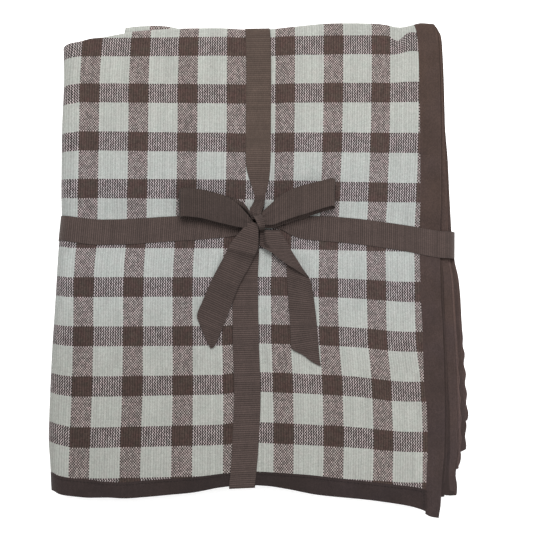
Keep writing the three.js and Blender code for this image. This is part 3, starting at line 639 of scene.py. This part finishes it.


# The sewn-on bands: plain brown, woven finer than the check. tone sets how light a band is,
# as painted light and shade, and middle the painted shade beside the tie. Below the top sheet
# each hem has a painted shadow under the edge of the one that covers it, and all show a painted
# highlight along their edge.
def bandMaterial(name, tone, middle=0.0):
    look = dict(
        pitch=0.95, brown=(0.0445, 0.0292, 0.0263), worn=(0.075, 0.055, 0.050), depth=0.2,
        stitchAt=2.6, stitchWide=0.5, stitchDark=0.42, turnedUnder=255, under=1.17, fall=0.6,
        tieShadeAt=-0.015, gap=0.36, hem=0.16, secondRun=716, thirdRun=1186,
        covered=(0.12, 0.38, 0.05))
    fan = dict(start=0.145, wide=6.5, slope=78, least=6, most=23)
    shader = Shader(name)
    u, v = shader.place("flat")
    fromEnd, fromSide = shader.place("rim")
    across = u / look["pitch"] + 900
    down = v / (look["pitch"] * 1.15) + 900
    over = ((across.whole() + down.whole()) % 2).below(0.5)
    fromWarp = across.fromMiddle()
    fromWeft = down.fromMiddle()
    crown = weaveCrown(fromWarp, fromWeft, over, 0.4, 1, 0.9)
    crossing = shader.chance(across.whole() + 0.3, down.whole() + 0.7)
    fuzz = shader.noise((u, v, 3.0), 1.3, 4.0, 0.7)
    patch = shader.noise((u, v, 5.0), 0.05, 3.0)
    streak = shader.noise((u * 0.5, v * 0.02, 2.0), 1.0, 2.0)
    nearSeam = abs(fromEnd.most(abs(fromSide)) - look["stitchAt"]).below(look["stitchWide"])
    stitched = nearSeam * ((u + v) / 3.1).fraction().below(0.72)
    worn = fuzz.eased(0.45, 0.8) * 0.5
    colour = shader.blend(worn, look["brown"], look["worn"])
    x, y = shader.spot()
    cast = (shader.noise((u, v, 9.0), 0.035, 2.0) - 0.5) * 0.6 + (y + 0.07)
    # The dips of the weave are darker, painted shade in its grooves
    shade = (0.68 + 0.32 * crown) * (0.85 + 0.3 * streak) * (0.72 + 0.56 * patch)
    shade = shade * (0.85 + 0.3 * crossing)
    # The hems turned under are painted lighter: painted light against the shade they lie in
    shade = shade * (1 + (look["under"] - 1) * v.above(look["turnedUnder"]))
    shade = shade * (1 + look["fall"] * y)
    # Painted shade beside the tie, where the side band slopes under it
    shade = shade * (1 - middle * (1 - abs(x - look["tieShadeAt"]).eased(0.03, 0.1)))
    toHem = fromEnd + (bundle["right"] - seamX)
    # How far the hems fan out, in millimetres, and the share of it that covers this run
    fanned = ((fan["start"] - y) * fan["slope"] + fan["wide"]).least(fan["least"]).most(fan["most"])
    first, second, third = look["covered"]
    share = first + (second - first) * v.above(look["secondRun"])
    share = share + (third - second) * v.above(look["thirdRun"])
    # Painted shadow under the edge of the hem that covers this one, and a painted highlight along
    # each hem's own edge
    gap = (toHem - fanned * share).eased(-1.4, -0.3) * v.above(look["turnedUnder"])
    shade = shade * (1 - look["gap"] * gap) * (1 + look["hem"] * (1 - toHem.eased(0.3, 1.1)))
    colour = colour * shader.vector(1 + cast * 0.15, 1 + cast * 0.02, 1 - cast * 0.35)
    colour = colour * (shade * tone * (1 - look["stitchDark"] * stitched))
    height = crown * 0.8 + fuzz * 0.4 - stitched * 0.8
    roughness = 0.92 + 0.06 * (fuzz - 0.5)
    return shader.finish(colour, roughness, height, look["depth"], 0.04, (1, 0.93, 0.88))


# The ribbon: fine ribs across it, a firm edge along each side, and a little sheen. The ribs
# lie flatter, and the brown is warmer, towards the far end.
def ribbonMaterial():
    look = dict(rib=2.04, half=12.5, edge=0.9, brown=(0.0428, 0.0297, 0.0264),
                edgeBrown=(0.031, 0.0225, 0.02), depth=0.5, flatter=0.45, warmer=0.1)
    shader = Shader("ribbed ribbon")
    u, v = shader.place("flat")
    wander = shader.noise((u * 0.08, v * 0.5, 0.0), 1.0, 2.0)
    phase = (v + (wander - 0.5) * 0.7) / look["rib"]
    fromRib = phase.fromMiddle()
    rib = 1 - fromRib * fromRib
    edge = abs(u).eased(look["half"] - look["edge"], look["half"] - look["edge"] * 0.4)
    thread = shader.chance((u * 3.2).whole(), phase.whole())
    row = shader.chance(phase.whole(), 3.0)
    patch = shader.noise((u * 0.1, v * 0.03, 1.0), 1.0, 3.0)
    fuzz = shader.noise((u, v, 2.0), 1.7, 3.0, 0.6)
    # Each length's painted light and shade, kept in the rim layer
    shade = shader.place("rim")[0]
    x, y = shader.spot()
    farEnd = y.eased(0.02, 0.14)
    rib = rib + (0.667 - rib) * look["flatter"] * farEnd.least(x.eased(0.12, 0.15))
    # The grooves between the ribs are darker, painted shade
    tone = shade * (0.5 + 0.68 * rib) * (0.85 + 0.3 * thread) * (0.78 + 0.44 * patch)
    tone = tone * (0.92 + 0.16 * fuzz) * (0.9 + 0.2 * row)
    colour = shader.blend(edge * 0.6, look["brown"], look["edgeBrown"])
    colour = colour * shader.vector(1.0, 1.0, 1 - look["warmer"] * farEnd) * tone
    height = rib * (1 - edge) * 0.8 + edge * 0.6 + thread * 0.12 + fuzz * 0.2
    roughness = 0.8 + 0.1 * (fuzz - 0.5)
    return shader.finish(colour, roughness, height, look["depth"], 0.05, (1, 0.92, 0.85))


checkCotton = checkMaterial()
bandCotton = bandMaterial("plain band cotton", 0.85)
# The lower hems are painted lighter, painted light against the shade they lie in, and the side
# bands painted darker, painted shade where they curl down away from the light
lowerCottonLit = bandMaterial("lower band cotton with painted light", 1.24)
sideCottonShaded = bandMaterial("side band cotton with painted shade", 0.61, 0.24)
ribbed = ribbonMaterial()
print("materials made")


# The check panel, with stops in its hidden runs where a layer looks out
peekStops = (139, 137.5, 136, 123, 110, 102, 95, 85, 75)
clothSection = foldTwice(seamY, firstY, turnY, cloth["pitch"])
clothPath = foldTwice(-seamX, -firstX, -turnX, stripPitch, extra=peekStops)
checkCloth = foldedSheet("tablecloth", clothSection, clothPath, cloth["thick"], checkCotton)

# The end bands stand a little proud of the side bands, and lap over the edge of the check
band = dict(thick=1.15, proud=2.2, lap=0.4, steps=8)
hemY = bundle["near"] - band["proud"]
hemSection = foldTwice(hemY, firstY, turnY, cloth["pitch"], hidden=grain["fine"])
endTop = seamX - band["lap"]
endUpper = level(-endTop, -bundle["right"], 1.5 * stripPitch, 1, band["steps"])
endLower = level(-endTop, -bundle["right"], 0.5 * stripPitch, -1, band["steps"])
bandEndUpper = foldedSheet("bandEndUpper", hemSection, endUpper, band["thick"], bandCotton)
bandEndLower = foldedSheet("bandEndLower", hemSection, endLower, band["thick"], lowerCottonLit)

sideTop = seamY + band["lap"]
sidePath = foldTwice(-endTop - 2 * band["lap"], -firstX, -turnX, stripPitch)
sideUpper = level(bundle["near"], sideTop, 1.5 * cloth["pitch"], 1, band["steps"])
sideLower = level(bundle["near"], sideTop, 0.5 * cloth["pitch"], -1, band["steps"])
bandSideUpper = foldedSheet("bandSideUpper", sideUpper, sidePath, band["thick"], sideCottonShaded)
bandSideLower = foldedSheet("bandSideLower", sideLower, sidePath, band["thick"], sideCottonShaded)
print("cloth and bands made")


ribbon = dict(
    width=25, thick=0.6, gap=0.45, columns=16, topStep=4, underStep=12, hemRadius=1.6,
    underLift=0.75, crossRise=0.8, crossReach=26, crossOver=12, sideClear=3, loopSteps=44,
    tailStep=1.6, knotStep=1.2, pleatWaves=2.5, curlFrom=-0.45, curlOver=0.25)


# How far along a line each of its points lies
def lengthsAlong(points):
    steps = np.linalg.norm(np.diff(points, axis=0), axis=1)
    return np.concatenate([[0], np.cumsum(steps)])


# A strip of ribbon from rows of its two edges. crown bows it across, and where it is drawn
# narrower than its width it is gathered into small pleats. shade is the painted light and
# shade of the strip, and curl is how far its left edge turns up.
def ribbonStrip(mesh, rows, startAt, crown=0.0, pleats=0.0, shade=1.0, curl=0.0, ring=False):
    share = np.linspace(-1, 1, ribbon["columns"] + 1)
    left = rows[:, None, 0:3]
    right = rows[:, None, 3:6]
    middle = (left + right) / 2 + (right - left) / 2 * share[None, :, None]
    along = np.gradient(middle, axis=0)
    if ring:
        along = np.roll(middle, -1, axis=0) - np.roll(middle, 1, axis=0)
    normal = np.cross(right - left, along)
    normal = normal / np.maximum(np.linalg.norm(normal, axis=2, keepdims=True), 1e-9)
    width = np.linalg.norm(right - left, axis=2)
    drawn = np.clip(1 - width / ribbon["width"], 0, 1)
    bow = crown * (1 - share[None, :] ** 2)
    bow = bow + pleats * drawn * np.cos(share[None, :] * math.pi * ribbon["pleatWaves"])
    middle = middle + normal * bow[..., None]
    turned = smooth((ribbon["curlFrom"] - share) / ribbon["curlOver"])
    middle[..., 2] += np.reshape(curl, (-1, 1)) * turned
    upper = middle + normal * ribbon["thick"] / 2
    lower = middle - normal * ribbon["thick"] / 2
    centre = (rows[:, 0:3] + rows[:, 3:6]) / 2
    if ring:
        centre = np.vstack([centre, centre[:1]])
    length = startAt + lengthsAlong(centre)
    flat = np.stack(np.broadcast_arrays(share[None, :] * ribbon["width"] / 2, length[:, None]), -1)
    shades = np.broadcast_to(shade, rows.shape[:1])
    if ring:
        shades = np.append(shades, shades[0])
    mesh.add(upper, lower, flat, np.broadcast_to(shades[:, None, None], flat.shape), ring)
    return length[-1] - startAt


# Rows of a strip's edges read smoothly along the strip
def smoothRows(rows, step):
    rows = np.array(rows, float)
    centre = (rows[:, 0:3] + rows[:, 3:6]) / 2
    at = lengthsAlong(centre)
    columns = ("at", "leftX", "leftY", "leftZ", "rightX", "rightY", "rightZ")
    line = Reading(columns, *[(place, *row) for place, row in zip(at, rows)])
    return line(np.linspace(0, at[-1], int(at[-1] / step) + 2))


def arc(centre, height, radius, start, sweep, steps):
    points = []
    for step in range(steps + 1):
        angle = start + sweep * step / steps
        points.append((centre + radius * math.cos(angle), height + radius * math.sin(angle)))
    return points


# The line round the bundle, seen end on: over the top, down one side, under it and up the other
def roundBundle(low, high, lowSide, highSide=()):
    lift = ribbon["gap"]
    start = low + ribbon["sideClear"]
    stop = high - ribbon["sideClear"]
    top = [(place, bundleHeight + lift) for place in np.arange(stop, start, -ribbon["topStep"])]
    under = [(place, -lift) for place in np.arange(start, stop, ribbon["underStep"])]
    return top + lowSide + under + list(highSide)


# The ribbon's way down over the near hems, the far folds and the left turn
def hemSide(edge):
    radius = ribbon["hemRadius"]
    upper = arc(0, bundleHeight + ribbon["gap"] - radius, radius, math.pi / 2, -math.pi / 2, 4)
    middle = [(radius, bundleHalf * share) for share in (1.4, 1, 0.6)]
    lower = arc(0, radius - ribbon["gap"], radius, 0, -math.pi / 2, 4)
    return [(edge - (place + ribbon["thick"]), height) for place, height in upper + middle + lower]


def foldSide(edge):
    radius = stripHalf + ribbon["gap"]
    upper = arc(edge, bundleHeight - stripHalf, radius, math.pi / 2, -math.pi / 2, 6)
    lower = arc(edge, stripHalf, radius, 0, -math.pi / 2, 6)
    return list(reversed(upper + [(edge + radius, bundleHalf)] + lower))


def turnSide(edge):
    return arc(edge, bundleHalf, bundleHalf + ribbon["gap"], math.pi / 2, math.pi, 14)


# How wide the ribbon's two turns lie on top, where the knot gathers them
lengthwiseWidth = Reading(
    ("y", "width"), (-30, 25), (0, 18), (36, 8), (56, 9), (68, 11.2), (77.5, 15.6), (87, 20.2),
    (100, 24), (112, 25))
crosswiseWidth = Reading(
    ("x", "width"), (-62, 25), (-38, 24.5), (-26, 22.5), (-14, 11), (-4, 6), (16, 7), (30, 17),
    (46, 23.5), (64, 25))


# The runs under the bundle lie on the surface, in the dip that the cloth leaves for them, and the
# crosswise one lies over the lengthwise one
def layRibbon(x, y, z, underLift):
    place = settle(x, y, z)
    low = ribbon["thick"] / 2 + underLift
    place[..., 2] = np.where(z < 0, low, place[..., 2])
    return place


def lengthwiseRows():
    line = roundBundle(bundle["near"], turnY, hemSide(bundle["near"]), foldSide(turnY))
    y, z = np.array(line).T
    onTop = z > bundleHeight
    half = np.where(onTop, lengthwiseWidth(y), ribbon["width"]) / 2
    return np.hstack([layRibbon(lengthwiseX + side * half, y, z, 0) for side in (-1, 1)])


# Down over the fanned hems at the right: how far out of the top sheet's edge, and the height
fanSide = Reading(
    ("step", "out", "height"), (0, 8, 1.1), (1, 12.2, 1.3), (2, 12.9, 3.5), (3, 14.6, 8),
    (4, 16, 13), (5, 16, 15.8), (6, 14.7, 20.5), (7, 11, 24.6), (8, 6, 26.6), (9, 1.5, 27.4))


def fanRows(half):
    out, height = np.moveaxis(fanSide(np.arange(0, fanSide.at[-1] + 0.1, 0.5)), -1, 0)
    x = bundle["right"] + out
    places = []
    for side in (-1, 1):
        y = np.full(x.shape, crosswiseY + side * half)
        place = settle(x, y, np.full(x.shape, bundleHeight))
        brow = settle(bundle["right"], y, bundleHeight + ribbon["gap"])[..., 2]
        place[..., 2] = height * brow / bundleHeight
        places.append(place)
    return np.hstack(places)


def crosswiseRows():
    x, z = np.array(roundBundle(turnX, bundle["right"], turnSide(turnX))).T
    onTop = z > bundleHeight
    half = np.where(onTop, crosswiseWidth(x), ribbon["width"]) / 2
    nearby = smooth((ribbon["crossReach"] - np.abs(x - lengthwiseX)) / ribbon["crossOver"])
    rise = np.where(onTop, ribbon["crossRise"] * nearby, 0)
    lift = ribbon["underLift"]
    rows = np.hstack([layRibbon(x, crosswiseY + side * half, z, lift) for side in (-1, 1)])
    rows[:, [2, 5]] += rise[:, None]
    return np.vstack([rows, fanRows(ribbon["width"] / 2)])


bowBase = bundleHeight - pillow["dip"]

# The bow's two loops, from the knot outwards. far and near are the ribbon's two edges, and lip
# and under are how far the lower ply's edges lie from the upper one's.
leftLoop = Reading(
    ("out", "x", "far", "near", "lip", "under"), (0, -5.5, 45.8, 42.5, 4, 0),
    (7, -12.5, 54.5, 39.5, 6.8, -0.3), (13, -18.5, 60.9, 40.2, 5, -0.8),
    (20.5, -26, 66.8, 41.8, 2.3, -1.8), (28.5, -34, 70.8, 43.6, 1.2, -1.6),
    (40, -45.5, 74.3, 46.4, 0.6, -1.9), (51.5, -57, 76.9, 49.2, -0.4, -2.6),
    (61, -66.5, 78.1, 50.3, -1, -2.6), (67.5, -73, 78.4, 50.7, -1.4, -2.6))
rightLoop = Reading(
    ("out", "x", "far", "near", "lip", "under"), (0, -1, 51, 43, -2.6, -2.6),
    (13, 12, 63, 42.5, -2.6, -2.6), (24, 23, 72, 46, -2.6, -2.6), (36, 35, 78, 50.2, -2.6, -2.6),
    (48, 47, 81.7, 53.7, -2.6, -2.6), (61, 60, 85, 58, -2.6, -2.6), (72, 71, 88, 61, -2.6, -2.6))
loopHeights = Reading(
    ("share", "lower", "upperFar", "upperNear"), (0, 5, 9, 9), (0.2, 4, 11.5, 8.5),
    (0.5, 3.6, 13.5, 9.5), (0.8, 3.6, 13, 10), (1, 4.2, 12, 11))

# The left loop's lower ply turns its far edge up beside the knot
loopCurl = Reading(("x", "rise"), (-44, 0), (-34, 4), (-24, 7.5), (-12, 7.5), (-5, 5), (0, 0))


# Out along a loop's lower ply, round its end and back along the upper one
def loopRows(table, outwards):
    out = np.linspace(0, table.at[-1], ribbon["loopSteps"] + 1)
    x, far, near, lip, under = np.moveaxis(table(out), -1, 0)
    lowerZ, upperFar, upperNear = np.moveaxis(loopHeights(out / out[-1]), -1, 0) + bowBase
    lower = np.stack([x, far + lip, lowerZ, x, near + under, lowerZ], -1)
    upper = np.stack([x, far, upperFar, x, near, upperNear], -1)
    tip = []
    for step in (1, 2, 3):
        angle = -math.pi / 2 + step * math.pi / 4
        mixed = lower[-1] * (1 - step / 4) + upper[-1] * step / 4
        for edge in (0, 3):
            radius = (upper[-1][edge + 2] - lower[-1][edge + 2]) / 2
            mixed[edge] += outwards * radius * math.cos(angle)
            mixed[edge + 2] = lower[-1][edge + 2] + radius + radius * math.sin(angle)
        tip.append(mixed)
    curl = np.concatenate([loopCurl(x), np.zeros(len(tip) + len(upper))])
    return np.vstack([lower, tip, upper[::-1]]), curl


# The two tails, from the knot to the cut ends. Each row has x and y of the left edge, x and y of
# the right edge, and the heights of both over the cloth. The right tail is twisted, and its
# lower length comes out from under the upper one.
leftTail = [
    (-8.5, 46.5, -0.6, 43, 10, 12), (-14, 40.5, -0.2, 35.5, 9, 12),
    (-19.5, 34.5, -0.2, 27.5, 6.5, 9.5), (-25, 28.1, -0.8, 20.5, 5, 8),
    (-29.5, 20.8, -3.2, 13.9, 4.8, 7.6), (-30.5, 18.9, -4.4, 11.6, 3.6, 5.4),
    (-31.6, 16.6, -5.9, 8.6, 2.2, 3), (-34.6, 10.5, -10, 0.7, 2.2, 2.8),
    (-43.2, -6.1, -19.2, -16.5, 1.6, 2.8), (-48.9, -18.7, -24.5, -30, 1.2, 2.4),
    (-54.7, -32.3, -29.5, -43.5, 1.1, 1.6), (-59.4, -45.8, -34.5, -56.5, 1.1, 1.2),
    (-56.4, -55, -37, -62.5, 1.1, 1.1), (-51.5, -66.5, -40, -70, 1.1, 1.1),
    (-46.2, -77.2, -43.2, -76, 1.1, 1.1),
]
rightTailUpper = [
    (2.3, 38.6, 19.6, 36.8, 7, 7), (1.2, 36, 20.6, 35.6, 9.5, 8.5), (0.8, 24.5, 26.5, 27.7, 8, 8),
    (5.2, 20, 30.5, 20, 7, 8), (12, 16, 34, 13.6, 6.4, 8), (18.7, 10.4, 37.6, 7.8, 6.4, 8),
    (26.5, 4.5, 41.6, 1.2, 6.6, 7.6), (36.1, -1.4, 45.4, -4.4, 6.4, 6.8),
    (47, -8.2, 49, -9.2, 5, 5),
]
rightTailLower = [
    (27.8, 10, 38.5, 3.5, 2.4, 3), (27, 2, 44, -4, 2, 4), (27.2, -4, 49.2, -10, 1.8, 4),
    (27.6, -9, 51.4, -17, 1.5, 2.6), (28.4, -26.4, 53.6, -30, 1.1, 1.5),
    (30.3, -51.6, 56, -52, 1.1, 1.1), (31.2, -76, 57.6, -71.5, 1.1, 1.1),
    (43.7, -84, 58.3, -82, 1.1, 1.1), (51.4, -90, 59, -89, 1.1, 1.1),
    (58.3, -93.6, 60, -93.6, 1.1, 1.1),
]


def tailRows(table):
    rows = []
    for leftX, leftY, rightX, rightY, leftRise, rightRise in table:
        left = (leftX, leftY, float(topHeight(leftX, leftY)) + leftRise)
        right = (rightX, rightY, float(topHeight(rightX, rightY)) + rightRise)
        rows.append((*left, *right))
    return rows


# The piece that wraps the middle of the bow, and the gathered end of the lengthwise run, with
# heights over bowBase
knotWrap = [
    (-6, 52.8, 5, 1.2, 54.2, 5), (-5.4, 51.7, 9.5, 1.8, 53.2, 9.5),
    (-4.4, 49.3, 13.5, 3.3, 50.7, 13.5), (-2.5, 45.4, 15.6, 5.2, 46.8, 15.6),
    (-0.6, 41.5, 15.4, 6.2, 42.9, 15), (0.6, 38.5, 12.5, 6, 39, 12), (1, 37.1, 7, 5.6, 37.3, 7),
]
gathered = [
    (-4.2, 70, 1.4, 5.6, 70, 1.4), (-5, 66, 3.2, 6, 66, 3.2), (-7, 61.5, 6, 4.8, 61.5, 6),
    (-8.8, 57.8, 8.5, 3.4, 57, 8.5), (-8.6, 53.5, 9.5, 2.4, 53, 11), (-6.5, 48, 9.5, 2.6, 48, 12),
]


def bowRows(table):
    return np.array(table, float) + (0, 0, bowBase, 0, 0, bowBase)


mesh = SheetMesh("ribbonBow")
lengthwise = lengthwiseRows()
# Each length gets painted light and shade: lighter towards the far end where the light falls, the
# left loop darkest where it tilts away from the light, the knot's lengths darker where they lie in
# its shade
paintedShading = 1 + 0.16 * smooth((lengthwise[:, 1] - 20) / 120)
length = ribbonStrip(mesh, lengthwise, 0, pleats=0.7, shade=paintedShading, ring=True)
length += ribbonStrip(mesh, crosswiseRows(), length, pleats=0.7, ring=True)
rows, curl = loopRows(leftLoop, -1)
length += ribbonStrip(mesh, rows, length, crown=0.8, pleats=0.6, shade=0.74, curl=curl)
rows = loopRows(rightLoop, 1)[0]
length += ribbonStrip(mesh, rows, length, crown=0.8, pleats=1.0, shade=0.96)
rows = smoothRows(tailRows(leftTail), ribbon["tailStep"])
# Painted shade on the left tail below its crease, lighter above it
paintedShading = 0.84 + 0.16 * smooth((rows[:, 4] - 9) / 5)
length += ribbonStrip(mesh, rows, length, crown=0.4, shade=paintedShading)
rows = smoothRows(tailRows(rightTailUpper), ribbon["tailStep"])
curl = -5 * smooth((rows[:, 1] - 18) / 5)
length += ribbonStrip(mesh, rows, length, crown=0.4, shade=0.98, curl=curl)
rows = smoothRows(tailRows(rightTailLower), ribbon["tailStep"])
length += ribbonStrip(mesh, rows, length, crown=0.3, shade=0.93)
rows = smoothRows(bowRows(gathered), ribbon["knotStep"])
length += ribbonStrip(mesh, rows, length, crown=0.6, pleats=1.6, shade=0.85)
rows = smoothRows(bowRows(knotWrap), ribbon["knotStep"])
length += ribbonStrip(mesh, rows, length, crown=0.9, shade=0.97)
tie = mesh.build(ribbed)
print("ribbon made, mm long:", round(length))


def standIn(piece, node):
    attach(piece, "root")
    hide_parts(node)


standIn(checkCloth, "cloth_panel")
standIn(bandEndUpper, "band_end_upper")
standIn(bandEndLower, "band_end_lower")
standIn(bandSideUpper, "band_side_upper")
standIn(bandSideLower, "band_side_lower")
standIn(tie, "ribbon")


# The floor gives a little light itself, so that the bundle casts hardly any shadow
ground = dict(half=3, level=-0.0003, glow=0.28, dark=(0.94, 0.94, 0.94), pale=(0.97, 0.97, 0.97))


def floorMaterial():
    shader = Shader("pale floor")
    x, y = shader.spot()
    mottle = shader.noise((x, y, ground["level"]), 3.0, 3.0)
    colour = shader.blend(mottle, ground["dark"], ground["pale"])
    return shader.cover({
        "Base Color": colour, "Roughness": 0.8, "Specular IOR Level": 0.1,
        "Emission Color": (1, 1, 1), "Emission Strength": ground["glow"]})


floorCorners = [(x * ground["half"], y * ground["half"], ground["level"])
                for x, y in ((-1, -1), (1, -1), (1, 1), (-1, 1))]
floorMesh = bpy.data.meshes.new("floor")
floorMesh.from_pydata(floorCorners, [], [(0, 1, 2, 3)])
floorMesh.materials.append(floorMaterial())
floor = bpy.data.objects.new("floor", floorMesh)
bpy.context.collection.objects.link(floor)


# A soft light that faces the bundle
def softbox(name, place, size, power):
    light = bpy.data.lights.new(name, "AREA")
    light.shape = "RECTANGLE"
    light.size, light.size_y = size
    light.energy = power
    lamp = bpy.data.objects.new(name, light)
    lamp.location = place
    x, y, z = place
    lamp.rotation_euler = (math.atan2(math.hypot(x, y), z), 0, math.atan2(x, -y))
    bpy.context.collection.objects.link(lamp)


lights = dict(key=39, fill=8, world=0.92)
softbox("softbox far", (0.0, 0.95, 1.5), (1.3, 0.9), lights["key"])
softbox("softbox right", (1.1, -0.7, 0.9), (0.9, 0.9), lights["fill"])

world = bpy.data.worlds.new("studio")
world.use_nodes = True
background = world.node_tree.nodes["Background"].inputs
background["Color"].default_value = (1, 1, 1, 1)
background["Strength"].default_value = lights["world"]
scene = bpy.context.scene
scene.world = world
scene.view_settings.view_transform = "Standard"

view = dict(elevation=83.7, distance=1.05, aim=(0.0108, -0.0049, 0.020), lens=71.5, sensor=36)
tilt = math.radians(view["elevation"])
cameraData = bpy.data.cameras.new("camera")
cameraData.lens = view["lens"]
cameraData.sensor_width = view["sensor"]
camera = bpy.data.objects.new("camera", cameraData)
outwards = np.array([0, -math.cos(tilt), math.sin(tilt)])
camera.location = np.array(view["aim"]) + view["distance"] * outwards
camera.rotation_euler = (math.pi / 2 - tilt, 0, 0)
bpy.context.collection.objects.link(camera)
scene.camera = camera
print("floor, light and camera made")
